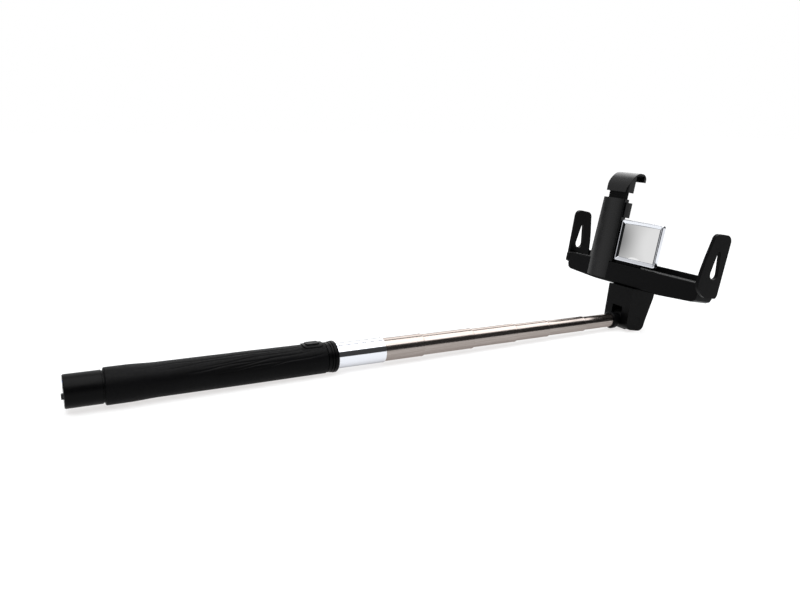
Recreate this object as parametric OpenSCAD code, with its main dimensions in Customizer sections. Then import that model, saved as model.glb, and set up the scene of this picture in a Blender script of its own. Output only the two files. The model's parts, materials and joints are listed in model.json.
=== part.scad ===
// Extendable selfie stick with a tilting phone cradle.
// The stick lies along +X with its handle at -X, and the cradle stands up at +X.
// The origin is below the middle of the overall length, level with the underside of the grip.

/* [Handle] */
// Diameter of the rubber grip at its thick rear end
grip_d = 20.8; // [20.4:0.1:21.2]
// Diameter of the rubber grip along its middle
grip_mid_d = 19.7; // [19.4:0.1:20]
// Diameter of the rubber grip at its front end
grip_front_d = 19.3; // [18.9:0.1:19.6]
// Diameter of the bare rear section
rear_d = 18.5; // [18.2:0.1:18.8]
// Length of the bare rear section
rear_len = 19.2; // [18.8:0.1:19.6]
// Distance from the rear face to the front of the handle
handle_len = 153.7; // [153.4:0.1:154.5]
// Length of the raised frame around the shutter button
bezel_len = 12.4; // [11.5:0.1:13]
// Travel of the shutter button
button_travel = 0.5; // [0.3:0.1:0.6]

/* [Telescopic tubes] */
// Outside diameter of the chromed outer tube
tube_d = 15.8; // [15.6:0.1:16]
// Difference in diameter between one tube and the next
tube_step = 1; // [0.98:0.01:1.04]
// Wall thickness of every tube
tube_wall = 0.25; // [0.22:0.01:0.28]
// Length of each inner tube
inner_len = 146; // [140:1:148]
// Distance from the rear face to the front end of the outer tube
outer_front = 185.9; // [184:0.1:190]
// How far each inner tube is pulled out of the one before it
pull = [28.2, 38.3, 35.4, 28.5, 33.2, 27.3];

/* [Cradle] */
// Forward lean of the cradle from upright
tilt = 10; // [0:1:25]
// Width of the phone held between the tray and the jaw
phone_w = 67; // [60:1:80]
// Length of the phone held between the two side arms
phone_l = 138.1; // [130:0.1:144]
// Thickness of the phone
phone_t = 7.1; // [6.5:0.1:8]
// Height of the tray's upper face above the tilt axis
tray_top = 40; // [39:0.1:42]
// Width of the neck along the tilt axis
neck_w = 24.6; // [23.6:0.1:25.6]

/* [Hidden] */
$fn = 96;

// Running clearance of a pin or tube in its hole, on the radius
run_gap = 0.05;
// Gap between pieces that are assembled but don't move
fit_gap = 0.05;
axis_h = grip_d / 2;

// Handle lengths, measured from the rear face
grip_start = rear_len + 1;
grip_end = 146.3;
bezel_start = 132.4;
spigot_end = 27.4;
outer_rear = 28.5;
outer_len = outer_front - outer_rear;
core_d = 17.6;
rear_bore_d = 15.2;
plate_t = 1.4;

// Tube k counts from 1, the chromed outer tube, to 7, the thinnest
function d_of(k) = tube_d - tube_step * (k - 1);
function front_of(k) = k == 1 ? outer_front : front_of(k - 1) + pull[k - 2];
bush_len = 14;
lip_len = 0.7;

// Tilt axis and end fitting
pivot_x = front_of(7) + 13.7;
collar_d = 12.6;
collar_start = front_of(7) - 1;
collar_len = 3.5;
knuckle_r = 7.8;
knuckle_t = 9.4;
slot_w = 10.2;
hinge_d = 4;

// Cradle sections: a is the depth towards the screen side, h the height above the tilt axis
tray_a = [-7.2, 8.2];
tray_bottom = 24.4;
tray_half = 66.5;
neck_bottom = -6.5;
phone_back_a = -2;
phone_front_a = phone_back_a + phone_t;
arm_inner = phone_l / 2 + 0.75;
arm_t = 2.7;
arm_outer = arm_inner + arm_t;
jaw_y = 28.5;
jaw_h = tray_top + phone_w;
sleeve_y = [18.7, 43.9];
sleeve_top = 88.4;
hook_y = [16.3, 39.3];
hook_bottom = jaw_h - 13.5;
hook_top = jaw_h + 2.2;
slide_bottom = 54;
mirror_y = [-24.2, 16.4];
mirror_h = [42.1, 73.4];

// The frame origin is half-way between the switch knob's tip and the hook's rounded lip
knob_out = 1.2;
hook_lip_a = phone_front_a + 2.7;
lip_r = 4.6;
lip_centre = [hook_lip_a - lip_r, hook_top - lip_r];
overall_front = pivot_x + lip_centre[0] * cos(tilt) + lip_centre[1] * sin(tilt) + lip_r;
mid_x = (overall_front - knob_out) / 2;

module stick_frame() {
    translate([-mid_x, 0, axis_h])
        children();
}

module cradle_frame() {
    translate([pivot_x - mid_x, 0, axis_h])
        rotate([0, tilt, 0])
            children();
}

// Cylinder along X from x0 to x1
module rod_x(d, x0, x1) {
    translate([x0, 0, 0])
        rotate([0, 90, 0])
            cylinder(d = d, h = x1 - x0);
}

// Cylinder along Y, centred on y
module rod_y(d, len, y = 0) {
    translate([0, y, 0])
        rotate([90, 0, 0])
            cylinder(d = d, h = len, center = true);
}

// Turned shape about X from points of [x, radius]
module turned(points) {
    rotate([0, 90, 0])
        rotate_extrude()
            polygon([for (p = points) [p[1], p[0]]]);
}

// Box from its lowest and highest corners
module block(low, high) {
    translate(low)
        cube(high - low);
}

// Rectangle in the XY plane with round corners, made of straight and round pieces
module round_rect(size, r) {
    union() {
        square([size[0] - 2 * r, size[1]], center = true);
        square([size[0], size[1] - 2 * r], center = true);
        for (sx = [-1, 1], sy = [-1, 1])
            translate([sx * (size[0] / 2 - r), sy * (size[1] / 2 - r)])
                circle(r = r, $fn = 48);
    }
}

// Bar along Y with a rounded section in a and h
module round_bar(a, h, y, r) {
    translate([(a[0] + a[1]) / 2, y[1], (h[0] + h[1]) / 2])
        rotate([90, 0, 0])
            linear_extrude(y[1] - y[0])
                round_rect([a[1] - a[0], h[1] - h[0]], r);
}

// Plate across the depth axis with round corners, seen from the handle side
module round_plate(y, h, a, r) {
    translate([a[0], (y[0] + y[1]) / 2, (h[0] + h[1]) / 2])
        rotate([90, 0, 90])
            linear_extrude(a[1] - a[0])
                round_rect([y[1] - y[0], h[1] - h[0]], r);
}

// ---- Handle ----

socket_z = [0.5, 3.1];
socket_w = 7.6;
knob_z = -2.6;
led_z = 5.7;

module rear_housing() {
    color([0.03, 0.03, 0.03])
        stick_frame()
            difference() {
                union() {
                    turned([[0, 0], [0, rear_d / 2 - 0.5], [0.5, rear_d / 2],
                        [rear_len, rear_d / 2], [rear_len, 0]]);
                    rod_x(core_d - 1, rear_len, spigot_end);
                }
                rod_x(rear_bore_d, plate_t, spigot_end + 1);
                rod_x(rear_bore_d + 1.2, -1, plate_t);
            }
}

module end_plate() {
    color([0.02, 0.02, 0.02])
        stick_frame()
            difference() {
                rod_x(rear_bore_d + 1.1, 0.1, plate_t);
                block([-1, -3, knob_z - 1.7], [2, 3, knob_z + 1.7]);
                block([-1, -socket_w / 2 - 0.1, socket_z[0] - 0.1],
                    [2, socket_w / 2 + 0.1, socket_z[1] + 0.1]);
                translate([0, 0, led_z])
                    rod_x(2, -1, 2);
            }
}

module switch_knob() {
    color([0.02, 0.02, 0.02])
        stick_frame()
            union() {
                block([-knob_out, -1.1, knob_z - 1.5], [2.2, 1.1, knob_z + 1.5]);
                block([1.6, -2.6, knob_z - 1.6], [2.2, 2.6, knob_z + 1.6]);
            }
}

module switch_body() {
    color([0.7, 0.7, 0.72])
        stick_frame()
            difference() {
                block([2.5, -4.2, knob_z - 2], [6, 4.2, -0.55]);
                block([2, -3.2, knob_z - 1.2], [3.5, 3.2, knob_z + 1.2]);
            }
}

module charge_socket() {
    color([0.75, 0.75, 0.77])
        stick_frame()
            difference() {
                block([0.4, -socket_w / 2, socket_z[0]], [5.6, socket_w / 2, socket_z[1]]);
                block([0, -socket_w / 2 + 0.35, socket_z[0] + 0.35],
                    [4.8, socket_w / 2 - 0.35, socket_z[1] - 0.35]);
            }
}

module status_led() {
    color([0.2, 0.35, 0.9])
        stick_frame()
            translate([0, 0, led_z])
                union() {
                    rod_x(1.8, 0.4, 2.4);
                    translate([0.4, 0, 0])
                        intersection() {
                            sphere(d = 1.8, $fn = 32);
                            rod_x(3, -0.5, 0);
                        }
                }
}

module circuit_board() {
    color([0.05, 0.3, 0.15])
        stick_frame()
            union() {
                block([2.6, -6, -0.5], [26.5, 6, 0.5]);
                block([9, -3, -1.7], [14, 2, -0.5]);
                block([16, -2, -1.5], [21, 2.5, -0.5]);
            }
}

module battery() {
    color([0.75, 0.75, 0.78])
        stick_frame()
            block([6.4, -4.9, 0.55], [26.5, 4.9, 5.5]);
}

module tube_base_plug() {
    color([0.1, 0.1, 0.1])
        stick_frame()
            union() {
                rod_x(d_of(1), outer_rear - 0.9, outer_rear - fit_gap);
                rod_x(d_of(1) - 2 * tube_wall - 0.1, outer_rear - 0.9, outer_rear + 7);
            }
}

module grip_core() {
    color([0.08, 0.08, 0.08])
        stick_frame()
            difference() {
                rod_x(core_d, rear_len + 0.1, grip_end + 0.3);
                rod_x(core_d - 1 + 0.1, rear_len, spigot_end + 0.1);
                rod_x(d_of(1) + 0.1, spigot_end, grip_end + 2);
                block([bezel_start + 0.4, -4, 5], [bezel_start + bezel_len - 0.4, 4, 12]);
            }
}

module grip_sleeve() {
    color([0.05, 0.05, 0.05])
        stick_frame()
            difference() {
                turned([[grip_start, 0], [grip_start, grip_d / 2 - 0.9], [grip_start + 0.9, grip_d / 2],
                    [grip_start + 12, grip_d / 2 - 0.05], [grip_start + 28, grip_mid_d / 2],
                    [grip_start + 81, grip_mid_d / 2], [grip_end - 0.3, grip_front_d / 2],
                    [grip_end, grip_front_d / 2 - 0.3], [grip_end, 0]]);
                rod_x(core_d + 0.1, grip_start - 1, grip_end + 1);
                translate([bezel_start + bezel_len / 2, 0, 5])
                    linear_extrude(10)
                        round_rect([bezel_len + 0.2, 9.8], 2.4);
            }
}

// Upright rounded block under the button's curved top surface
module top_pad(len, width, r, low, top_r) {
    intersection() {
        translate([bezel_start + bezel_len / 2, 0, low])
            linear_extrude(12)
                round_rect([len, width], r);
        rod_x(2 * top_r, 100, 180);
    }
}

module button_bezel() {
    color([0.04, 0.04, 0.04])
        stick_frame()
            difference() {
                top_pad(bezel_len, 9.6, 2.3, 5, 10.3);
                rod_x(core_d + 0.1, 100, 180);
                translate([bezel_start + bezel_len / 2, 0, 5])
                    linear_extrude(12)
                        round_rect([9.4, 6.2], 1.9);
            }
}

module shutter_button() {
    color([0.06, 0.06, 0.06])
        stick_frame()
            top_pad(9, 5.8, 1.7, 9.75, 10.65);
}

module tact_switch() {
    color([0.7, 0.7, 0.72])
        stick_frame()
            translate([bezel_start + bezel_len / 2, 0, 0])
                union() {
                    block([-2, -1.7, 8.35], [2, 1.7, 9]);
                    translate([0, 0, 9])
                        cylinder(d = 1.8, h = 0.2, $fn = 48);
                }
}

module button_board() {
    color([0.6, 0.4, 0.1])
        stick_frame()
            block([bezel_start + 0.8, -2.2, 7.95], [bezel_start + bezel_len - 0.8, 2.2, 8.35]);
}

// Collar with three ribs and a rounded front end
module front_collar() {
    rear = grip_end + 0.4;
    end_r = [1.4, 1.35];
    end_x = handle_len - end_r[0];
    end_points = [for (t = [0:15:90]) [end_x + end_r[0] * sin(t), 8.5 + end_r[1] * cos(t)]];
    color([0.05, 0.05, 0.05])
        stick_frame()
            difference() {
                turned(concat([[rear, 0], [rear, 9], [rear + 0.3, 9.3], [rear + 2, 9.35],
                    [rear + 2.2, 9.05], [rear + 2.4, 9.05], [rear + 2.6, 9.55], [rear + 3.6, 9.6],
                    [rear + 3.8, 9.25], [rear + 4, 9.25], [rear + 4.2, 9.8]],
                    end_points, [[handle_len, 0]]));
                rod_x(d_of(1) + 0.1, grip_end, handle_len + 1);
            }
}

// ---- Telescopic tubes ----

// Thin tube whose front end is rolled in around the next tube
module tube_shape(d, x0, x1, lip_d) {
    difference() {
        turned([[x0, 0], [x0, d / 2], [x1 - 0.25, d / 2], [x1, d / 2 - 0.2], [x1, 0]]);
        rod_x(d - 2 * tube_wall, x0 - 1, x1 - lip_len);
        rod_x(lip_d, x1 - lip_len - 1, x1 + 1);
    }
}

module inner_tube(k) {
    lip_d = k < 7 ? d_of(k + 1) + 2 * run_gap : d_of(7) - 2 * tube_wall;
    color([0.78, 0.76, 0.74])
        stick_frame()
            tube_shape(d_of(k), front_of(k) - inner_len, front_of(k), lip_d);
}

// Split friction bush on the rear end of tube k, running inside tube k - 1
module bush(k) {
    x0 = front_of(k) - inner_len;
    color([0.85, 0.83, 0.75])
        stick_frame()
            difference() {
                rod_x(d_of(k - 1) - 2 * tube_wall - 2 * run_gap, x0, x0 + bush_len);
                rod_x(d_of(k), x0 - 1, x0 + bush_len + 1);
                block([x0 - 1, -0.5, 0], [x0 + bush_len + 1, 0.5, 12]);
            }
}

module outer_tube() {
    color([0.85, 0.86, 0.88])
        stick_frame()
            tube_shape(d_of(1), outer_rear, outer_front, d_of(2) + 2 * run_gap);
}

module tube_2() inner_tube(2);
module tube_3() inner_tube(3);
module tube_4() inner_tube(4);
module tube_5() inner_tube(5);
module tube_6() inner_tube(6);
module tube_7() inner_tube(7);
module bush_2() bush(2);
module bush_3() bush(3);
module bush_4() bush(4);
module bush_5() bush(5);
module bush_6() bush(6);
module bush_7() bush(7);

rivet_x = front_of(7) - 8;

// Plug in the last tube, with a collar and the round knuckle of the tilt hinge
module end_plug() {
    color([0.04, 0.04, 0.04])
        stick_frame()
            difference() {
                union() {
                    rod_x(d_of(7) - 2 * tube_wall - 0.1, front_of(7) - 14, collar_start + 1.5);
                    difference() {
                        turned([[collar_start, 0], [collar_start, collar_d / 2 - 0.6],
                            [collar_start + 0.6, collar_d / 2], [collar_start + collar_len, collar_d / 2],
                            [collar_start + collar_len, 0]]);
                        rod_x(d_of(7) + 0.1, collar_start - 1, front_of(7));
                    }
                    rod_x(knuckle_t, collar_start + collar_len - 0.5, pivot_x);
                    translate([pivot_x, 0, 0])
                        rod_y(2 * knuckle_r, knuckle_t);
                }
                translate([pivot_x, 0, 0])
                    rod_y(hinge_d + 2 * run_gap, 30);
                translate([rivet_x, 0, 0])
                    rod_y(1.5, 30);
            }
}

module plug_rivet() {
    color([0.7, 0.7, 0.72])
        stick_frame()
            translate([rivet_x, 0, 0])
                rod_y(1.4, d_of(7) - 2 * tube_wall - 0.15);
}

// ---- Tilting cradle ----

ear_y = neck_w / 2;
head_pocket = 3.4;
foot_a = [-3.5, 3.9];
foot_r = 5;

// Outline of the neck in a and h: it widens towards the tray and has a flat foot
module neck_outline() {
    union() {
        polygon([[-10.3, tray_bottom], [-8.5, 0], [foot_a[0], neck_bottom], [foot_a[1], neck_bottom],
            [foot_a[1] + foot_r, neck_bottom + foot_r], [9.5, 3], [12.6, 19.5], [12.6, tray_bottom]]);
        for (a = foot_a)
            translate([a, neck_bottom + foot_r])
                circle(r = foot_r, $fn = 64);
    }
}

module neck_fork() {
    color([0.03, 0.03, 0.03])
        cradle_frame()
            difference() {
                translate([0, ear_y, 0])
                    rotate([90, 0, 0])
                        linear_extrude(neck_w)
                            neck_outline();
                block([-12, -slot_w / 2, neck_bottom - 1], [12, slot_w / 2, 9.6]);
                rod_y(hinge_d, neck_w + 2);
                rod_y(7.6, head_pocket, ear_y - head_pocket / 2 + 0.01);
                rod_y(8.4, 1, -ear_y + 0.49);
                translate([0, -ear_y + 0.5, 0])
                    rotate([-90, 0, 0])
                        cylinder(d = 8.2, h = head_pocket - 0.5, $fn = 6);
                for (y = [-7, 7])
                    translate([0, y, 14])
                        cylinder(d = 2.6, h = 20, $fn = 48);
            }
}

module hinge_screw() {
    color([0.7, 0.7, 0.72])
        cradle_frame()
            difference() {
                union() {
                    rod_y(hinge_d, neck_w - 3.2, 0.6);
                    rod_y(7.2, 2.2, ear_y - 2.25);
                }
                block([-2.2, ear_y - 2.2, -0.5], [2.2, ear_y, 0.5]);
                block([-0.5, ear_y - 2.2, -2.2], [0.5, ear_y, 2.2]);
            }
}

module hinge_nut() {
    color([0.7, 0.7, 0.72])
        cradle_frame()
            translate([0, -ear_y + 1.1, 0])
                rotate([-90, 0, 0])
                    difference() {
                        cylinder(d = 8, h = 2.2, $fn = 6);
                        translate([0, 0, -1])
                            cylinder(d = hinge_d, h = 5);
                    }
}

module hinge_caps() {
    color([0.03, 0.03, 0.03])
        cradle_frame()
            union() {
                rod_y(7.5, 0.9, ear_y - 0.5);
                rod_y(8.3, 0.9, -ear_y + 0.5);
            }
}

module friction_washers() {
    color([0.7, 0.7, 0.72])
        cradle_frame()
            for (side = [-1, 1])
                difference() {
                    rod_y(11, 0.3, side * (knuckle_t / 2 + 0.2));
                    rod_y(hinge_d, 40);
                }
}

module neck_screws() {
    color([0.7, 0.7, 0.72])
        cradle_frame()
            for (y = [-7, 7])
                translate([0, y, 0])
                    union() {
                        translate([0, 0, 15])
                            cylinder(d = 2.6, h = 21, $fn = 48);
                        translate([0, 0, 36])
                            cylinder(d = 5.2, h = 2.4, $fn = 48);
                    }
}

tongue_a = [-4.4, 4.4];
tongue_h = [32.8, 37];
pad_a = [-2.2, 6.2];
pad_t = 1.2;
pad_half = 59;
tongue_end = 36;
sleeve_screw_y = [jaw_y - 5.2, jaw_y + 5.2];
sleeve_screw_a = -5.1;

// Side view of the tray in y and h: underside bowed towards the ends, with round lower corners
module tray_outline() {
    bow = [[30, 0], [tray_half - 4, 2.1], [tray_half - 1.2, 3.4], [tray_half, 6.1]];
    last = len(bow) - 1;
    polygon(concat(
        [for (point = bow) point + [0, tray_bottom]],
        [[tray_half, tray_top + 1], [-tray_half, tray_top + 1]],
        [for (i = [last:-1:0]) [-bow[i][0], bow[i][1] + tray_bottom]]));
}

module tray_body() {
    intersection() {
        round_bar(tray_a, [tray_bottom, tray_top], [-tray_half - 1, tray_half + 1], 1.6);
        translate([-20, 0, 0])
            rotate([90, 0, 90])
                linear_extrude(40)
                    tray_outline();
    }
}

module cradle_tray() {
    color([0.03, 0.03, 0.03])
        cradle_frame()
            difference() {
                union() {
                    tray_body();
                    round_bar([tray_a[1] - 1.8, tray_a[1]], [tray_top - 4, tray_top + 4],
                        [-tray_half + 6, tray_half - 6], 0.8);
                }
                block([pad_a[0], -pad_half, tray_top - pad_t], [pad_a[1], pad_half, tray_top + 2]);
                for (side = [-1, 1])
                    translate([0, side * tray_half, 0])
                        block([tongue_a[0] - 0.3, tongue_end - 1 - tray_half, tongue_h[0] - 0.3],
                            [tongue_a[1] + 0.3, tray_half - tongue_end + 1, tongue_h[1] + 0.3]);
                for (y = [-7, 7])
                    translate([0, y, 0]) {
                        translate([0, 0, 20])
                            cylinder(d = 2.8, h = 30, $fn = 48);
                        translate([0, 0, 36])
                            cylinder(d = 5.6, h = 10, $fn = 48);
                    }
                for (y = sleeve_screw_y)
                    translate([sleeve_screw_a, y, tray_top - 5])
                        cylinder(d = 1.7, h = 10, $fn = 48);
            }
}

module tray_pad() {
    color([0.12, 0.12, 0.12])
        cradle_frame()
            block([pad_a[0] + 0.1, 0.1 - pad_half, tray_top - pad_t], [pad_a[1] - 0.1, pad_half - 0.1, tray_top]);
}

// Outline of a side arm's plate in a and h, with two round top corners and a long tapered slot
module arm_plate_outline() {
    corner_r = 4.7;
    corners = [[-5.6, 69.7], [1.1, 69.9]];
    difference() {
        union() {
            for (corner = corners)
                translate(corner)
                    circle(r = corner_r);
            polygon([corners[1] + [0, corner_r], corners[1] + [corner_r, 0], [4.8, 34], [3.9, 32],
                [2.8, 31.4], [-7, 31.4], [-10, 32.6], [-12.6, 34.6], [-15, 37.4], [-15.9, 40.6],
                [-15.3, 44.3], [-14.4, 51.2], [-13.1, 58], corners[0] - [corner_r, 0],
                corners[0] + [0, corner_r]]);
        }
        hull() {
            translate([-2.9, 61.4])
                circle(d = 3, $fn = 32);
            translate([-3.1, 47.8])
                circle(d = 7.6, $fn = 32);
        }
    }
}

// Side arm on the -Y side: plate, base block and the tongue that slides in the tray
module side_arm() {
    union() {
        translate([0, -arm_inner, 0])
            rotate([90, 0, 0])
                linear_extrude(arm_t)
                    arm_plate_outline();
        round_bar([-6.4, 7.2], [32, 39.4], [-arm_inner - 0.5, -tray_half - 0.3], 1.4);
        block([tongue_a[0], -arm_inner, tongue_h[0]], [tongue_a[1], -tongue_end, tongue_h[1]]);
    }
}

module side_arm_right() {
    color([0.03, 0.03, 0.03])
        cradle_frame()
            side_arm();
}

module side_arm_left() {
    color([0.03, 0.03, 0.03])
        cradle_frame()
            rotate([0, 0, 180])
                side_arm();
}

sleeve_front_a = -9;
sleeve_back_a = -2.6;
channel_a = [-6.8, -3.4];
channel_y = [jaw_y - 9.1, jaw_y + 9.1];
channel_floor = tray_top + 1.2;

// Section of the sleeve in a and y: flat back, rounded front
module sleeve_section() {
    mid = (sleeve_y[0] + sleeve_y[1]) / 2;
    half = (sleeve_y[1] - sleeve_y[0]) / 2;
    rise = 2.6;
    r = (half * half + rise * rise) / (2 * rise);
    intersection() {
        translate([sleeve_front_a, sleeve_y[0]])
            square([sleeve_back_a - sleeve_front_a, 2 * half]);
        translate([sleeve_front_a + r, mid])
            circle(r = r, $fn = 256);
    }
}

// Sleeve that narrows towards the top on its outer side, with a lug over the mirror
module clamp_sleeve() {
    taper = 2.9;
    color([0.04, 0.04, 0.04])
        cradle_frame()
            difference() {
                union() {
                    translate([0, 0, 26.4])
                        linear_extrude(sleeve_top - 26.4)
                            sleeve_section();
                    block([-5.4, 14.6, 74.6], [-2.6, sleeve_y[0] + 1, 86]);
                }
                block([channel_a[0], channel_y[0], channel_floor],
                    [channel_a[1], channel_y[1], sleeve_top + 1]);
                block([tray_a[0] - 0.05, 0, 20], [0, 60, tray_top + 0.05]);
                translate([-20, 0, 0])
                    rotate([90, 0, 90])
                        linear_extrude(20)
                            polygon([[sleeve_y[1], tray_top], [sleeve_y[1] - taper, sleeve_top],
                                [sleeve_y[1] - taper, sleeve_top + 1], [60, sleeve_top + 1], [60, tray_top]]);
                for (y = sleeve_screw_y)
                    translate([sleeve_screw_a, y, tray_top - 1])
                        cylinder(d = 1.9, h = 4, $fn = 48);
            }
}

module sleeve_screws() {
    color([0.1, 0.1, 0.1])
        cradle_frame()
            for (y = sleeve_screw_y)
                translate([sleeve_screw_a, y, 0])
                    union() {
                        translate([0, 0, tray_top - 4.8])
                            cylinder(d = 1.7, h = 7, $fn = 48);
                        translate([0, 0, channel_floor])
                            cylinder(d = 3.2, h = 1.2, $fn = 48);
                    }
}

module back_pad() {
    color([0.1, 0.1, 0.1])
        cradle_frame()
            round_plate([21, 40.5], [44, 86], [sleeve_back_a, sleeve_back_a + 0.5], 1.5);
}

blade_a = [-6.5, -3.7];
blade_half = 8.9;
blade_top = jaw_h - 5;
jaw_screw_h = jaw_h - 8;
spring_top = 78;
spring_low = tray_top + 2;
jaw_pad_t = 0.5;

// Flat blade that slides in the sleeve, with fine cross grooves on its front
module jaw_slide() {
    groove_depth = 0.3;
    color([0.05, 0.05, 0.05])
        cradle_frame()
            difference() {
                block([blade_a[0], jaw_y - blade_half, slide_bottom], [blade_a[1], jaw_y + blade_half, blade_top]);
                block([-8, jaw_y - 2, slide_bottom - 1], [-2, jaw_y + 2, spring_top + 1]);
                for (h = [hook_bottom - 25:1.5:hook_bottom - 1])
                    block([blade_a[0] - 1, jaw_y - blade_half - 1, h],
                        [blade_a[0] + groove_depth, jaw_y + blade_half + 1, h + 0.6]);
                translate([0, jaw_y, jaw_screw_h])
                    rod_x(1.9, -8, -2);
            }
}

// Points round a helix, one ring of points for each step along the wire
coil_r = 1.15;
wire_r = 0.22;
coil_turns = 15;
steps_per_turn = 10;
wire_sides = 5;
coil_steps = coil_turns * steps_per_turn;
function coil_point(i, j) =
    let (turn = 360 * i / steps_per_turn,
        side = 360 * j / wire_sides,
        r = coil_r + wire_r * cos(side))
    [r * cos(turn), r * sin(turn), (spring_top - spring_low) * i / coil_steps + wire_r * sin(side)];

module clamp_spring() {
    color([0.75, 0.75, 0.77])
        cradle_frame()
            translate([(blade_a[0] + blade_a[1]) / 2, jaw_y, spring_low])
                polyhedron(
                    points = [for (i = [0:coil_steps], j = [0:wire_sides - 1]) coil_point(i, j)],
                    faces = concat(
                        [[for (j = [0:wire_sides - 1]) j]],
                        [[for (j = [wire_sides - 1:-1:0]) coil_steps * wire_sides + j]],
                        [for (i = [0:coil_steps - 1], j = [0:wire_sides - 1])
                            [i * wire_sides + j, (i + 1) * wire_sides + j,
                                (i + 1) * wire_sides + (j + 1) % wire_sides,
                                i * wire_sides + (j + 1) % wire_sides]]));
}

// Side view of the hook in a and h: sloping round front, flat top and a short lip on the screen side
module hook_outline() {
    front = [10.8, hook_top - hook_bottom];
    front_a = 1.3;
    pad_top = jaw_h + jaw_pad_t;
    lip_bottom = jaw_h - 4;
    lip_inner_a = phone_front_a + 0.6;
    polygon(concat(
        [for (t = [0:5:90]) [front_a - front[0] * pow(cos(t), 1.18), hook_bottom + front[1] * pow(sin(t), 1.18)]],
        [for (t = [90:-7.5:0]) lip_centre + lip_r * [cos(t), sin(t)]],
        [[lip_centre[0] + lip_r, lip_bottom], [lip_inner_a, lip_bottom], [lip_inner_a, pad_top],
            [-2.3, pad_top], [-2.3, hook_bottom]]));
}

module jaw_hook() {
    color([0.04, 0.04, 0.04])
        cradle_frame()
            difference() {
                intersection() {
                    translate([0, hook_y[1], 0])
                        rotate([90, 0, 0])
                            linear_extrude(hook_y[1] - hook_y[0])
                                hook_outline();
                    translate([0, (hook_y[0] + hook_y[1]) / 2, hook_bottom - 1])
                        linear_extrude(20)
                            round_rect([2 * 9.5, hook_y[1] - hook_y[0]], 2.4);
                }
                block([blade_a[0] - 0.05, jaw_y - blade_half - 0.05, hook_bottom - 1],
                    [blade_a[1] + 0.05, jaw_y + blade_half + 0.05, blade_top + 0.05]);
                translate([0, jaw_y, jaw_screw_h])
                    rod_x(1.9, -7, 0);
                translate([0, jaw_y, jaw_screw_h])
                    rod_x(3.6, -3, 0);
            }
}

module jaw_pad() {
    color([0.12, 0.12, 0.12])
        cradle_frame()
            block([-2.2, jaw_y - 10, jaw_h], [phone_front_a + 0.5, jaw_y + 10, jaw_h + jaw_pad_t]);
}

module jaw_screw() {
    color([0.7, 0.7, 0.72])
        cradle_frame()
            translate([0, jaw_y, jaw_screw_h])
                union() {
                    rod_x(1.8, -6.7, -2.9);
                    rod_x(3.4, -3, -2.45);
                }
}

frame_a = [-7.2, -4.2];
bracket_a = [-4.15, -2.55];
mirror_mid_y = (mirror_y[0] + mirror_y[1]) / 2;
mirror_screw_y = [mirror_mid_y - 10, mirror_mid_y + 10];
mirror_screw_h = (mirror_h[0] + mirror_h[1]) / 2;

module mirror_bracket() {
    color([0.03, 0.03, 0.03])
        cradle_frame()
            difference() {
                union() {
                    round_plate([-20, sleeve_y[0] - 0.1], [43, 72], bracket_a, 2);
                    block([bracket_a[0], -8, tray_top + 0.02], [bracket_a[1], sleeve_y[0] - 0.1, 50]);
                }
                for (y = mirror_screw_y)
                    translate([0, y, mirror_screw_h]) {
                        rod_x(1.8, -6, 0);
                        rod_x(3.2, -3.1, 0);
                    }
            }
}

module mirror_frame() {
    color([0.85, 0.86, 0.88])
        cradle_frame()
            difference() {
                round_plate(mirror_y, mirror_h, frame_a, 1.6);
                round_plate([mirror_y[0] + 1.8, mirror_y[1] - 1.8], [mirror_h[0] + 1.8, mirror_h[1] - 1.8],
                    [frame_a[0] - 1, frame_a[1] - 1], 0.8);
                for (y = mirror_screw_y)
                    translate([0, y, mirror_screw_h])
                        rod_x(1.5, -5.4, 0);
            }
}

// Mirror whose face bulges slightly from side to side
module mirror_glass() {
    bulge_r = 110;
    color([0.8, 0.85, 0.9])
        cradle_frame()
            intersection() {
                round_plate([mirror_y[0] + 1.9, mirror_y[1] - 1.9], [mirror_h[0] + 1.9, mirror_h[1] - 1.9],
                    [frame_a[0] - 1, frame_a[1] - 1.05], 0.7);
                translate([frame_a[0] + 0.1 + bulge_r, mirror_mid_y, 0])
                    cylinder(r = bulge_r, h = 200, $fn = 720);
            }
}

module mirror_screws() {
    color([0.7, 0.7, 0.72])
        cradle_frame()
            for (y = mirror_screw_y)
                translate([0, y, mirror_screw_h])
                    union() {
                        rod_x(1.5, -5.1, -3.1);
                        rod_x(3, -3.1, -2.6);
                    }
}

rear_housing();
end_plate();
switch_knob();
switch_body();
charge_socket();
status_led();
circuit_board();
battery();
tube_base_plug();
grip_core();
grip_sleeve();
button_bezel();
shutter_button();
tact_switch();
button_board();
front_collar();
outer_tube();
tube_2();
tube_3();
tube_4();
tube_5();
tube_6();
tube_7();
bush_2();
bush_3();
bush_4();
bush_5();
bush_6();
bush_7();
end_plug();
plug_rivet();
hinge_screw();
hinge_nut();
hinge_caps();
friction_washers();
neck_fork();
neck_screws();
cradle_tray();
tray_pad();
side_arm_left();
side_arm_right();
clamp_sleeve();
sleeve_screws();
back_pad();
clamp_spring();
jaw_slide();
jaw_hook();
jaw_pad();
jaw_screw();
mirror_bracket();
mirror_frame();
mirror_glass();
mirror_screws();
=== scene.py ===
"""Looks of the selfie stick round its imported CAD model: materials, moulded detail and a white studio."""
import json
import math

import bpy
from mathutils import Matrix, Vector


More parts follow.
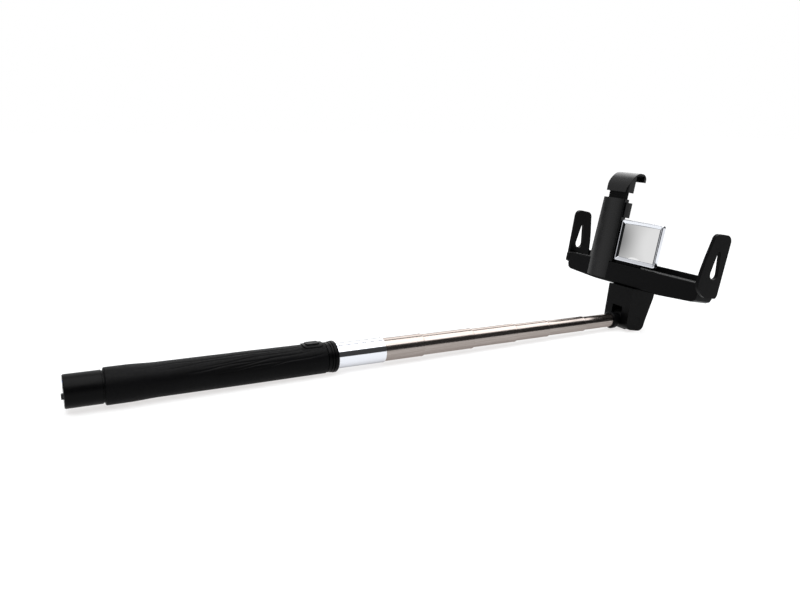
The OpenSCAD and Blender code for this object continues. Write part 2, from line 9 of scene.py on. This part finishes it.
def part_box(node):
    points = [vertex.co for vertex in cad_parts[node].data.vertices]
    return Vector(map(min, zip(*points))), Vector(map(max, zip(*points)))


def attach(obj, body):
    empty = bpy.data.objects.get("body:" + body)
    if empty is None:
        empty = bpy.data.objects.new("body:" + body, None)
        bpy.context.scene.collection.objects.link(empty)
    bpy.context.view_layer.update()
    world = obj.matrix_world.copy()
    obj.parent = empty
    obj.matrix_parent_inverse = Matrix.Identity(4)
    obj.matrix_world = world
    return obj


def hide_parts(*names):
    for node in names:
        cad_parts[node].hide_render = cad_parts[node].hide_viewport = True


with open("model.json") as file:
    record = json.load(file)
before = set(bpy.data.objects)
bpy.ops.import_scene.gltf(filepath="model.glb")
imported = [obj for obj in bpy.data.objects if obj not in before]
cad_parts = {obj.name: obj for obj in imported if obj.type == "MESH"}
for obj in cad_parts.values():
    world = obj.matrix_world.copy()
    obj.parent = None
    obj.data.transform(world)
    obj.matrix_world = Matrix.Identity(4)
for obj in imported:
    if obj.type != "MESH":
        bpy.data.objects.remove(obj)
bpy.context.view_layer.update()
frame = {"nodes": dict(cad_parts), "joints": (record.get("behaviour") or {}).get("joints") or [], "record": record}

MM = 0.001
NODES = frame["nodes"]
JOINTS = {joint["name"]: joint for joint in frame["joints"]}

# Where things are, from the frame
rear_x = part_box("rear_housing")[0].x
pivot = Vector(JOINTS["cradle_tilt"]["pos_m"])
jaw_axis = Vector(JOINTS["jaw_slide_joint"]["axis"])
TO_CRADLE = Matrix.Translation(pivot) @ Matrix.Rotation(math.atan2(jaw_axis.x, jaw_axis.z), 4, "Y")


def cradle_box(node):
    """Lowest and highest corner of a CAD node in the cradle's own upright frame, in metres."""
    back = TO_CRADLE.inverted()
    corners = [back @ vertex.co for vertex in NODES[node].data.vertices]
    low = Vector(min(c[i] for c in corners) for i in range(3))
    high = Vector(max(c[i] for c in corners) for i in range(3))
    return low, high


# ---- Camera ----

LOOKS_ALONG = Vector((0.4448, 0.8642, -0.2353))
CAMERA_ROLL = math.radians(1.24)
LENS = 33.1
# The lens stands behind the handle's rear face, beside the stick and above the hinge, in metres
BEHIND_REAR = 0.0098
BESIDE_STICK = 0.4045
ABOVE_HINGE = 0.1418


def add_camera():
    """A camera beside the handle's rear end, looking across the stick towards the cradle."""
    forward = LOOKS_ALONG.normalized()
    level = forward.cross(Vector((0, 0, 1))).normalized()
    upright = level.cross(forward)
    right = level * math.cos(CAMERA_ROLL) + upright * math.sin(CAMERA_ROLL)
    up = upright * math.cos(CAMERA_ROLL) - level * math.sin(CAMERA_ROLL)
    data = bpy.data.cameras.new("camera")
    data.sensor_width = 36
    data.lens = LENS
    data.clip_start = 0.01
    data.clip_end = 50
    camera = bpy.data.objects.new("camera", data)
    camera.matrix_world = Matrix((
        (right.x, up.x, -forward.x, rear_x - BEHIND_REAR),
        (right.y, up.y, -forward.y, -BESIDE_STICK),
        (right.z, up.z, -forward.z, pivot.z + ABOVE_HINGE),
        (0, 0, 0, 1)))
    bpy.context.scene.collection.objects.link(camera)
    bpy.context.scene.camera = camera


# ---- Material helpers ----

# The parts of a noise texture's range over which roughness and colour change
ROUGHNESS_SPAN = (0.3, 0.7)
COLOR_SPAN = (0.35, 0.65)


def shader(name, color, **values):
    """A Principled material, with the values that are the same all over set on its own sockets."""
    material = bpy.data.materials.new(name)
    material.use_nodes = True
    principled = material.node_tree.nodes["Principled BSDF"]
    principled.inputs["Base Color"].default_value = (*color, 1)
    for socket, value in values.items():
        principled.inputs[socket.replace("_", " ")].default_value = value
    return material


def noise(material, scale, stretch=(1, 1, 1), detail=3, roughness=0.5):
    """Output of a noise texture in the object's own metres. scale is in patches per metre."""
    nodes, links = material.node_tree.nodes, material.node_tree.links
    place = nodes.new("ShaderNodeTexCoord")
    mapping = nodes.new("ShaderNodeMapping")
    mapping.inputs["Scale"].default_value = stretch
    texture = nodes.new("ShaderNodeTexNoise")
    texture.inputs["Scale"].default_value = scale
    texture.inputs["Detail"].default_value = detail
    texture.inputs["Roughness"].default_value = roughness
    links.new(place.outputs["Object"], mapping.inputs["Vector"])
    links.new(mapping.outputs["Vector"], texture.inputs["Vector"])
    return texture.outputs["Fac"]


def vary_roughness(material, source, low, high):
    """Lets the roughness follow a texture between low and high."""
    nodes, links = material.node_tree.nodes, material.node_tree.links
    spread = nodes.new("ShaderNodeMapRange")
    spread.inputs["From Min"].default_value = ROUGHNESS_SPAN[0]
    spread.inputs["From Max"].default_value = ROUGHNESS_SPAN[1]
    spread.inputs["To Min"].default_value = low
    spread.inputs["To Max"].default_value = high
    links.new(source, spread.inputs["Value"])
    links.new(spread.outputs["Result"], nodes["Principled BSDF"].inputs["Roughness"])


def vary_color(material, source, dark, light):
    """Lets the colour follow a texture between dark and light."""
    nodes, links = material.node_tree.nodes, material.node_tree.links
    ramp = nodes.new("ShaderNodeValToRGB")
    ramp.color_ramp.elements[0].position = COLOR_SPAN[0]
    ramp.color_ramp.elements[0].color = (*dark, 1)
    ramp.color_ramp.elements[1].position = COLOR_SPAN[1]
    ramp.color_ramp.elements[1].color = (*light, 1)
    links.new(source, ramp.inputs["Fac"])
    links.new(ramp.outputs["Color"], nodes["Principled BSDF"].inputs["Base Color"])


def add_bump(material, source, strength, distance):
    """Fine surface grain from a texture. distance is its depth in metres."""
    nodes, links = material.node_tree.nodes, material.node_tree.links
    bump = nodes.new("ShaderNodeBump")
    bump.inputs["Strength"].default_value = strength
    bump.inputs["Distance"].default_value = distance
    links.new(source, bump.inputs["Height"])
    links.new(bump.outputs["Normal"], nodes["Principled BSDF"].inputs["Normal"])


# ---- Materials, one for each slot of the record ----

def gloss_black():
    material = shader("gloss_black", (0.002, 0.002, 0.0023), Specular_IOR_Level=0.3)
    vary_roughness(material, noise(material, 160, detail=4), 0.2, 0.3)
    add_bump(material, noise(material, 1400, detail=2), 0.06, 0.05 * MM)
    return material


def satin_black():
    material = shader("satin_black", (0.0012, 0.0012, 0.0014), Specular_IOR_Level=0.06)
    vary_roughness(material, noise(material, 220, detail=4), 0.3, 0.42)
    add_bump(material, noise(material, 2600, detail=3), 0.12, 0.05 * MM)
    return material


def grip_rubber():
    material = shader("grip_rubber", (0.0015, 0.0015, 0.0017), Specular_IOR_Level=0.06)
    patches = noise(material, 90, stretch=(0.4, 1, 1))
    vary_color(material, patches, (0.0009, 0.0009, 0.0011), (0.002, 0.002, 0.0024))
    vary_roughness(material, noise(material, 700, detail=5), 0.42, 0.6)
    add_bump(material, noise(material, 5200, detail=4, roughness=0.65), 0.3, 0.05 * MM)
    return material


def pad_rubber():
    material = shader("pad_rubber", (0.008, 0.008, 0.0085), Specular_IOR_Level=0.15)
    vary_roughness(material, noise(material, 500, detail=4), 0.6, 0.8)
    add_bump(material, noise(material, 3500, detail=3), 0.35, 0.08 * MM)
    return material


def chrome():
    material = shader("chrome", (0.72, 0.735, 0.78), Metallic=1, Specular_Tint=(0.6, 0.6, 0.6, 1))
    vary_roughness(material, noise(material, 60, stretch=(0.2, 1, 1), detail=4), 0.05, 0.11)
    add_bump(material, noise(material, 900, stretch=(0.03, 1, 1), detail=2), 0.02, 0.02 * MM)
    return material


def brushed_tube():
    material = shader("brushed_tube", (0.31, 0.275, 0.255), Metallic=1, Specular_Tint=(0.8, 0.76, 0.74, 1))
    grain = noise(material, 2600, stretch=(0.012, 1, 1), detail=4, roughness=0.6)
    vary_color(material, grain, (0.26, 0.225, 0.205), (0.36, 0.32, 0.3))
    vary_roughness(material, grain, 0.12, 0.2)
    add_bump(material, grain, 0.05, 0.02 * MM)
    return material


def nylon():
    material = shader("nylon", (0.75, 0.73, 0.66), Subsurface_Weight=0.1)
    vary_roughness(material, noise(material, 400), 0.45, 0.6)
    add_bump(material, noise(material, 2500), 0.1, 0.05 * MM)
    return material


def steel():
    material = shader("steel", (0.6, 0.6, 0.62), Metallic=1)
    vary_roughness(material, noise(material, 900, detail=4), 0.22, 0.36)
    add_bump(material, noise(material, 3000), 0.06, 0.03 * MM)
    return material


def black_screw():
    material = shader("black_screw", (0.02, 0.02, 0.021), Metallic=0.8)
    vary_roughness(material, noise(material, 900), 0.35, 0.5)
    add_bump(material, noise(material, 3000), 0.1, 0.03 * MM)
    return material


def mirror():
    material = shader("mirror", (0.8, 0.8, 0.8), Metallic=1)
    vary_roughness(material, noise(material, 70, detail=5), 0.015, 0.06)
    return material


def led_lens():
    material = shader("led_lens", (0.35, 0.5, 0.95), Transmission_Weight=0.6, IOR=1.49)
    vary_roughness(material, noise(material, 900), 0.1, 0.2)
    return material


def circuit():
    material = shader("circuit", (0.02, 0.16, 0.07))
    vary_color(material, noise(material, 1200, detail=1), (0.012, 0.12, 0.05), (0.03, 0.2, 0.09))
    vary_roughness(material, noise(material, 600), 0.3, 0.45)
    return material


def cell_wrap():
    material = shader("cell_wrap", (0.6, 0.6, 0.62), Metallic=0.9)
    vary_roughness(material, noise(material, 500, detail=5), 0.25, 0.4)
    add_bump(material, noise(material, 250, detail=4), 0.3, 0.1 * MM)
    return material


MATERIALS = {build.__name__: build() for build in (
    gloss_black, satin_black, grip_rubber, pad_rubber, chrome, brushed_tube, nylon, steel,
    black_screw, mirror, led_lens, circuit, cell_wrap)}


# Width of the rounded edge on each CAD node that has one, in millimetres
EDGE_WIDTHS = {
    "neck_fork": 0.9, "cradle_tray": 0.35, "side_arm_left": 0.5, "side_arm_right": 0.5,
    "clamp_sleeve": 0.3, "jaw_hook": 0.4, "mirror_bracket": 0.25, "button_bezel": 0.25,
    "rear_housing": 0.2, "hinge_caps": 0.2, "end_plug": 0.25, "tray_pad": 0.2, "back_pad": 0.15,
    "jaw_pad": 0.15, "switch_knob": 0.15}
EDGE_SEGMENTS = 3
EDGE_ANGLE = math.radians(35)
WELD_DISTANCE = 0.002 * MM


def dress_cad_nodes():
    """Gives each CAD node the material of its slot in the record."""
    slot_of = {part["node"]: part["material_slot"] for part in frame["record"]["subparts"]}
    for name, node in NODES.items():
        for slot in node.material_slots:
            slot.material = MATERIALS[slot_of[name]]


def soften(name, width):
    """Rounds a CAD node's sharp edges with modifiers, as a moulded or pressed part has them."""
    node = NODES[name]
    weld = node.modifiers.new("weld", "WELD")
    weld.merge_threshold = WELD_DISTANCE
    bevel = node.modifiers.new("edges", "BEVEL")
    bevel.width = width
    bevel.segments = EDGE_SEGMENTS
    bevel.limit_method = "ANGLE"
    bevel.angle_limit = EDGE_ANGLE
    bevel.miter_outer = "MITER_ARC"
    normals = node.modifiers.new("normals", "WEIGHTED_NORMAL")
    normals.keep_sharp = False


# ---- Mesh helpers ----

SHARP_ANGLE = math.radians(40)
CORNER_STEPS = 8


def add_piece(name, points, faces, body, slot, replaces=()):
    """A closed mesh piece with smooth faces, riding on a CAD body."""
    mesh = bpy.data.meshes.new(name)
    mesh.from_pydata([tuple(p) for p in points], [], faces)
    mesh.polygons.foreach_set("use_smooth", [True] * len(mesh.polygons))
    mesh.update()
    mesh.set_sharp_from_angle(angle=SHARP_ANGLE)
    piece = bpy.data.objects.new(name, mesh)
    bpy.context.scene.collection.objects.link(piece)
    mesh.materials.append(MATERIALS[slot])
    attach(piece, body)
    if replaces:
        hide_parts(*replaces)
    return piece


def loft(rings, close_ends=True):
    """Points and faces of a skin through rings of equally many points, with a face over each end."""
    count = len(rings[0])
    points = [p for ring in rings for p in ring]
    faces = []
    for k in range(len(rings) - 1):
        for i in range(count):
            j = (i + 1) % count
            faces.append((k * count + i, k * count + j, (k + 1) * count + j, (k + 1) * count + i))
    if close_ends:
        faces.append(tuple(reversed(range(count))))
        faces.append(tuple(range((len(rings) - 1) * count, len(rings) * count)))
    return points, faces


def rounded_rectangle(low, high, inset, radius):
    """Points round a rectangle with round corners, counter-clockwise, inset from its low and high corner."""
    x0, y0 = low[0] + inset + radius, low[1] + inset + radius
    x1, y1 = high[0] - inset - radius, high[1] - inset - radius
    points = []
    for x, y, start in ((x1, y1, 0), (x0, y1, 90), (x0, y0, 180), (x1, y0, 270)):
        for k in range(CORNER_STEPS + 1):
            turn = math.radians(start + 90 * k / CORNER_STEPS)
            points.append((x + radius * math.cos(turn), y + radius * math.sin(turn)))
    return points


# ---- Grip: a rubber sleeve with grooves that flow towards the button ----

# Each groove: start and end along the grip (0 rear, 1 front), angle from the top at start and end in
# degrees, depth and half width in millimetres. Every groove is there on both sides.
GROOVES = (
    (0.30, 0.92, 22, 15, 0.30, 0.50),
    (0.22, 0.66, 44, 26, 0.26, 0.45),
    (0.40, 0.91, 52, 27, 0.34, 0.55),
    (0.33, 0.74, 66, 46, 0.28, 0.50),
    (0.52, 0.94, 66, 39, 0.34, 0.55),
    (0.46, 0.86, 80, 58, 0.26, 0.45),
    (0.62, 0.99, 84, 57, 0.30, 0.50),
    (0.58, 0.88, 36, 21, 0.22, 0.40),
    (0.12, 0.44, 30, 17, 0.18, 0.45),
)
# How a groove bends, how many degrees it wanders and over what phase of a sine, and how it runs out
GROOVE_BEND = 0.8
GROOVE_WANDER = 2.2
GROOVE_WANDER_PHASE = 3.1 * math.pi
GROOVE_RUNOUT = 0.7
# A dimple on both sides: place along the grip, angle from the top, depth and half width in millimetres
DIMPLE = (0.885, 31, 0.45, 1.1)
# The grip is thickest behind, narrows between two distances from its rear end, and tapers to its front
GRIP_MID_R = 9.85 * MM
GRIP_FRONT_R = 9.65 * MM
GRIP_NARROWS = (12 * MM, 28 * MM)
GRIP_TAPERS = 81 * MM
GRIP_ROUND_REAR = 0.9 * MM
GRIP_ROUND_FRONT = 0.35 * MM
GRIP_ROUND_STEPS = 6
GRIP_BORE_GAP = 0.05 * MM
GRIP_AROUND = 300
GRIP_ALONG = 330


def groove_depth(s, angle, radius, length):
    """Depth in metres of the grooves at s along the grip and angle degrees from its top."""
    depth = 0
    for start, end, angle_0, angle_1, deep, half_width in GROOVES:
        if not start < s < end:
            continue
        t = (s - start) / (end - start)
        wander = GROOVE_WANDER * math.sin(GROOVE_WANDER_PHASE * t)
        centre = angle_0 + (angle_1 - angle_0) * t ** GROOVE_BEND + wander
        away = math.radians(abs(angle) - centre) * radius / MM / half_width
        runout = math.sin(math.pi * t) ** GROOVE_RUNOUT
        depth = max(depth, deep * runout * math.exp(-away * away))
    at, turn, deep, half_width = DIMPLE
    along = (s - at) * length / MM / half_width
    across = math.radians(abs(angle) - turn) * radius / MM / half_width
    return (depth + deep * math.exp(-along * along - across * across)) * MM


def grip_cover():
    """The grip's sleeve, from its bore round the rear edge, along the grooves and back into the bore."""
    low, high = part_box("grip_sleeve")
    core_low, core_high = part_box("grip_core")
    core_r = (core_high.z - core_low.z) / 2 + GRIP_BORE_GAP
    rear_r = (high.z - low.z) / 2
    axis_z = (high.z + low.z) / 2
    length = high.x - low.x

    def outer_radius(x):
        """Radius of the ungrooved grip at x metres from its rear end."""
        if x > GRIP_TAPERS:
            return GRIP_MID_R + (GRIP_FRONT_R - GRIP_MID_R) * (x - GRIP_TAPERS) / (length - GRIP_TAPERS)
        t = min(max((x - GRIP_NARROWS[0]) / (GRIP_NARROWS[1] - GRIP_NARROWS[0]), 0), 1)
        return rear_r + (GRIP_MID_R - rear_r) * t * t * (3 - 2 * t)

    def ring(x, radius, grooved):
        s = (x - low.x) / length
        points = []
        for i in range(GRIP_AROUND):
            angle = 360 * i / GRIP_AROUND
            signed = angle if angle <= 180 else angle - 360
            r = radius - (groove_depth(s, signed, radius, length) if grooved else 0)
            turn = math.radians(angle)
            points.append((x, -r * math.sin(turn), axis_z + r * math.cos(turn)))
        return points

    quarter = [math.radians(90 * k / GRIP_ROUND_STEPS) for k in range(GRIP_ROUND_STEPS + 1)]
    rings = [ring(low.x, core_r, False)]
    for turn in reversed(quarter):
        rings.append(ring(low.x + GRIP_ROUND_REAR * (1 - math.sin(turn)),
                          outer_radius(0) - GRIP_ROUND_REAR * (1 - math.cos(turn)), False))
    for k in range(1, GRIP_ALONG):
        x = low.x + GRIP_ROUND_REAR + (length - GRIP_ROUND_REAR - GRIP_ROUND_FRONT) * k / GRIP_ALONG
        rings.append(ring(x, outer_radius(x - low.x), True))
    for turn in quarter:
        rings.append(ring(high.x - GRIP_ROUND_FRONT * (1 - math.sin(turn)),
                          outer_radius(length) - GRIP_ROUND_FRONT * (1 - math.cos(turn)), False))
    rings.append(ring(high.x, core_r, False))
    rings.append(rings[0])
    points, faces = loft(rings, close_ends=False)
    piece = add_piece("grip_cover", points, faces, "handle", "grip_rubber", ["grip_sleeve"])
    cut_button_hole(piece)


HOLE_GAP = 0.1 * MM
HOLE_CORNER = 2.4 * MM
HOLE_REACH = 4 * MM


def cut_button_hole(piece):
    """Cuts the opening in which the button's frame sits, a little clear of it."""
    low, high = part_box("button_bezel")
    outline = rounded_rectangle((low.x, low.y), (high.x, high.y), -HOLE_GAP, HOLE_CORNER)
    rings = [[(x, y, z) for x, y in outline] for z in (low.z - HOLE_REACH, high.z + HOLE_REACH)]
    points, faces = loft(rings)
    mesh = bpy.data.meshes.new("button_hole")
    mesh.from_pydata(points, [], faces)
    cutter = bpy.data.objects.new("button_hole", mesh)
    bpy.context.scene.collection.objects.link(cutter)
    cut = piece.modifiers.new("button_hole", "BOOLEAN")
    cut.object = cutter
    cut.solver = "EXACT"
    bpy.context.view_layer.update()
    shown = piece.evaluated_get(bpy.context.evaluated_depsgraph_get())
    piece.data = bpy.data.meshes.new_from_object(shown)
    piece.modifiers.clear()
    bpy.data.objects.remove(cutter)


# ---- Button: a crowned cap with a shallow dish for the thumb ----

def button_cap():
    low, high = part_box("shutter_button")
    # Inset, depth below the top and corner radius, from the foot to the dish, in millimetres
    profile = ((0, None, 1.7), (0, 0.42, 1.7), (0.08, 0.2, 1.65), (0.25, 0.06, 1.5), (0.5, 0, 1.3),
               (0.9, 0.03, 1.0), (1.3, 0.12, 0.8), (1.9, 0.17, 0.5), (2.6, 0.19, 0.2))
    rings = []
    for inset, below, radius in profile:
        z = low.z if below is None else high.z - below * MM
        outline = rounded_rectangle((low.x, low.y), (high.x, high.y), inset * MM, radius * MM)
        rings.append([(x, y, z) for x, y in outline])
    points, faces = loft(rings)
    add_piece("button_cap", points, faces, "shutter", "satin_black", ["shutter_button"])


# ---- Tubes: the front end of each is rolled into a fine bead ----

BEAD_LENGTH = 0.9 * MM
BEAD_RISE = 0.09 * MM
BEAD_SINK = 0.12 * MM
BEAD_STEPS = 10
BEAD_AROUND = 96
SLIDING_TUBES = range(2, 8)


def tube_bead(tube, body, slot):
    """A fine round ring at a tube's front end, its inner side sunk into the tube's wall."""
    low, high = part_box(tube)
    tube_r = (high.z - low.z) / 2
    axis_z = (high.z + low.z) / 2
    profile = [(high.x, tube_r - BEAD_SINK)]
    for k in range(1, BEAD_STEPS + 1):
        turn = math.pi * k / BEAD_STEPS
        x = high.x - BEAD_LENGTH * (1 - math.cos(turn)) / 2
        profile.append((x, tube_r + BEAD_RISE * math.sin(turn)))
    profile.append((high.x - BEAD_LENGTH, tube_r - BEAD_SINK))
    turns = [2 * math.pi * i / BEAD_AROUND for i in range(BEAD_AROUND)]
    rings = [[(x, -radius * math.sin(turn), axis_z + radius * math.cos(turn)) for turn in turns]
             for x, radius in profile]
    rings.append(rings[0])
    points, faces = loft(rings, close_ends=False)
    add_piece(tube + "_bead", points, faces, body, slot)


def tube_beads():
    tube_bead("outer_tube", "handle", "chrome")
    for k in SLIDING_TUBES:
        tube_bead(f"tube_{k}", f"section_{k}", "brushed_tube")


# ---- Mirror: chromed rim with a wide inner bevel, and a domed mirror face ----

# Of the rim's floor, in millimetres: how far it lies in from the outside, and its corner and thickness
RIM_INSET = 2.9
RIM_CORNER = 0.4
RIM_FLOOR = 1
# Of the mirror's face, in millimetres: its gap to the rim, and its edge's and its crown's depth in the rim
FACE_GAP = 0.04
FACE_EDGE = 1.15
FACE_CROWN = 0.15
FACE_COLUMNS = 48
FACE_ROWS = 40


def mirror_rim():
    low, high = cradle_box("mirror_frame")
    # Inset, depth behind the front and corner radius, from the back round the outside, in millimetres
    profile = ((0, None, 1.6), (0, 0.7, 1.6), (0.06, 0.4, 1.55), (0.2, 0.16, 1.5), (0.42, 0.03, 1.4),
               (0.7, 0, 1.3), (0.95, 0.05, 1.2), (1.15, 0.16, 1.1), (RIM_INSET - 0.25, 1.0, 0.5),
               (RIM_INSET - 0.1, 1.12, 0.45), (RIM_INSET, 1.3, RIM_CORNER))
    rings = []
    for inset, deep, radius in profile:
        a = high.x if deep is None else low.x + deep * MM
        outline = rounded_rectangle((low.y, low.z), (high.y, high.z), inset * MM, radius * MM)
        rings.append([TO_CRADLE @ Vector((a, y, h)) for y, h in outline])
    inner = rounded_rectangle((low.y, low.z), (high.y, high.z), RIM_INSET * MM, RIM_CORNER * MM)
    rings.append([TO_CRADLE @ Vector((high.x - RIM_FLOOR * MM, y, h)) for y, h in inner])
    points, faces = loft(rings)
    faces = [tuple(reversed(face)) for face in faces]
    add_piece("mirror_rim", points, faces, "cradle", "chrome", ["mirror_frame"])


def mirror_face():
    """The mirror's glass: a grid over its domed face, a wall round it and one flat face behind."""
    back = cradle_box("mirror_glass")[1].x
    low, high = cradle_box("mirror_frame")
    inset = (RIM_INSET + FACE_GAP) * MM
    middle = (low + high) / 2
    half_y = (high.y - low.y) / 2 - inset
    half_z = (high.z - low.z) / 2 - inset
    edge = low.x + FACE_EDGE * MM
    rise = (FACE_EDGE - FACE_CROWN) * MM
    columns, rows = FACE_COLUMNS, FACE_ROWS
    grid = []
    for j in range(rows + 1):
        for i in range(columns + 1):
            u, v = 2 * i / columns - 1, 2 * j / rows - 1
            a = edge - rise * (1 - u * u) * (1 - v * v / 2)
            grid.append(TO_CRADLE @ Vector((a, middle.y + u * half_y, middle.z + v * half_z)))
    faces = []
    wide = columns + 1
    for j in range(rows):
        for i in range(columns):
            k = j * wide + i
            faces.append((k, k + wide, k + wide + 1, k + 1))
    border = (list(range(columns)) + [j * wide + columns for j in range(rows)]
              + [rows * wide + i for i in range(columns, 0, -1)] + [j * wide for j in range(rows, 0, -1)])
    first = len(grid)
    to_local = TO_CRADLE.inverted()
    for k in border:
        place = to_local @ grid[k]
        grid.append(TO_CRADLE @ Vector((back, place.y, place.z)))
    for k in range(len(border)):
        n = (k + 1) % len(border)
        faces.append((border[k], border[n], first + n, first + k))
    faces.append(tuple(first + k for k in range(len(border))))
    add_piece("mirror_face", grid, faces, "cradle", "mirror", ["mirror_glass"])


# ---- Studio ----

FLOOR_HALF_SIZE = 6
FLOOR_GAP = 0.05 * MM
FLOOR_COLOR = (0.26, 0.275, 0.28, 1)
FLOOR_LIGHT = (0.72, 0.705, 0.7, 1)
# Where the cradle's foot stands, in front of the hinge
FOOT_AHEAD = 3.6 * MM
# Away from the handle's collar the floor goes over to an even glow, between these distances in metres
GLOW_STARTS = 0.45
GLOW_FULL = 0.9
GLOW_STRENGTH = 1.05


def floor_plane():
    """A white floor under the handle's collar and the cradle's foot, as the stick lies on it."""
    collar_low, collar_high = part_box("front_collar")
    rear_point = Vector(((collar_low.x + collar_high.x) / 2, 0, collar_low.z))
    front_point = Vector((pivot.x + FOOT_AHEAD, 0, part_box("neck_fork")[0].z))
    slope = (front_point - rear_point).normalized()
    tilt = -math.atan2(slope.z, slope.x)
    size = FLOOR_HALF_SIZE
    corners = [(-size, -size, 0), (size, -size, 0), (size, size, 0), (-size, size, 0)]
    mesh = bpy.data.meshes.new("floor")
    mesh.from_pydata(corners, [], [(0, 1, 2, 3)])
    floor = bpy.data.objects.new("floor", mesh)
    place_below = Matrix.Translation(rear_point - Vector((0, 0, FLOOR_GAP)))
    floor.matrix_world = place_below @ Matrix.Rotation(tilt, 4, "Y")
    bpy.context.scene.collection.objects.link(floor)
    material = bpy.data.materials.new("floor")
    material.use_nodes = True
    nodes, links = material.node_tree.nodes, material.node_tree.links
    principled = nodes["Principled BSDF"]
    principled.inputs["Base Color"].default_value = FLOOR_COLOR
    principled.inputs["Roughness"].default_value = 0.6
    principled.inputs["Specular IOR Level"].default_value = 0
    principled.inputs["Emission Color"].default_value = FLOOR_LIGHT
    principled.inputs["Emission Strength"].default_value = 1
    glow = nodes.new("ShaderNodeEmission")
    glow.inputs["Strength"].default_value = GLOW_STRENGTH
    place = nodes.new("ShaderNodeTexCoord")
    distance = nodes.new("ShaderNodeVectorMath")
    distance.operation = "LENGTH"
    far = nodes.new("ShaderNodeMapRange")
    far.interpolation_type = "SMOOTHSTEP"
    far.inputs["From Min"].default_value = GLOW_STARTS
    far.inputs["From Max"].default_value = GLOW_FULL
    mix = nodes.new("ShaderNodeMixShader")
    links.new(place.outputs["Object"], distance.inputs[0])
    links.new(distance.outputs["Value"], far.inputs["Value"])
    links.new(far.outputs["Result"], mix.inputs["Fac"])
    links.new(principled.outputs["BSDF"], mix.inputs[1])
    links.new(glow.outputs["Emission"], mix.inputs[2])
    links.new(mix.outputs["Shader"], nodes["Material Output"].inputs["Surface"])
    mesh.materials.append(material)


# Strength of the room's light, and what each of its regions adds to it
ROOM = 0.8
CEILING = 3.3
BACK_WALL = -0.5
FAR_BACK = 2.6
BEHIND_HANDLE = -0.66
SOFTBOX = 0.78
# Share of the light that the dark regions lose
DARK = 0.93


def studio_world():
    """A room with a bright ceiling, a dimmer back wall and a dark near side, which the tubes mirror."""
    world = bpy.data.worlds.new("studio")
    world.use_nodes = True
    bpy.context.scene.world = world
    nodes, links = world.node_tree.nodes, world.node_tree.links
    place = nodes.new("ShaderNodeTexCoord")
    split = nodes.new("ShaderNodeSeparateXYZ")
    links.new(place.outputs["Generated"], split.inputs[0])

    def step(axis, start, end):
        """Goes smoothly from 0 to 1 as the direction's part along axis goes from start to end."""
        spread = nodes.new("ShaderNodeMapRange")
        spread.interpolation_type = "SMOOTHSTEP"
        backwards = end < start
        spread.inputs["From Min"].default_value = end if backwards else start
        spread.inputs["From Max"].default_value = start if backwards else end
        spread.inputs["To Min"].default_value = 1 if backwards else 0
        spread.inputs["To Max"].default_value = 0 if backwards else 1
        links.new(split.outputs[axis], spread.inputs["Value"])
        return spread.outputs["Result"]

    def combine(operation, *parts):
        """Joins parts, from left to right, with one operation of the Math node."""
        total = parts[0]
        for part in parts[1:]:
            node = nodes.new("ShaderNodeMath")
            node.operation = operation
            for socket, value in ((node.inputs[0], total), (node.inputs[1], part)):
                if isinstance(value, (int, float)):
                    socket.default_value = value
                else:
                    links.new(value, socket)
            total = node.outputs["Value"]
        return total

    # Each region is a range of directions: +X towards the cradle, +Y to the stick's far side, +Z up
    near_side = combine("MULTIPLY", step("Y", -0.02, -0.22), step("Z", -0.01, 0.05), step("Z", 0.78, 0.68))
    along_stick = step("X", 0.8, 0.9)
    dark = combine("MAXIMUM", near_side, along_stick)
    ceiling = combine("MULTIPLY", step("Z", 0.62, 0.72), step("Y", 0.36, 0.28))
    back_wall = combine("MULTIPLY", step("X", 0.0, 0.2), step("Y", 0.3, 0.36))
    far_back = combine("MULTIPLY", step("Y", 0.47, 0.56), step("Z", 0.15, 0.35), step("X", 0.0, 0.2))
    behind_handle = combine("MULTIPLY", step("X", -0.15, -0.35), step("Z", 0.7, 0.5))
    softbox = combine("MULTIPLY", behind_handle, step("Y", 0.95, 0.6), step("Y", 0.05, 0.3))
    light = ROOM
    for region, change in ((ceiling, CEILING), (back_wall, BACK_WALL), (far_back, FAR_BACK),
                           (behind_handle, BEHIND_HANDLE), (softbox, SOFTBOX)):
        light = combine("ADD", light, combine("MULTIPLY", region, change))
    strength = combine("MULTIPLY", light, combine("SUBTRACT", 1.0, combine("MULTIPLY", dark, DARK)))

    seen = nodes.new("ShaderNodeLightPath")
    background = nodes["Background"]
    background.inputs["Color"].default_value = (1, 1, 1, 1)
    mix = nodes.new("ShaderNodeMix")
    mix.inputs["B"].default_value = 1
    links.new(seen.outputs["Is Camera Ray"], mix.inputs["Factor"])
    links.new(strength, mix.inputs["A"])
    links.new(mix.outputs["Result"], background.inputs["Strength"])


add_camera()
dress_cad_nodes()
for name, width in EDGE_WIDTHS.items():
    soften(name, width * MM)
grip_cover()
button_cap()
tube_beads()
mirror_rim()
mirror_face()
floor_plane()
studio_world()
bpy.context.scene.view_settings.view_transform = "Standard"
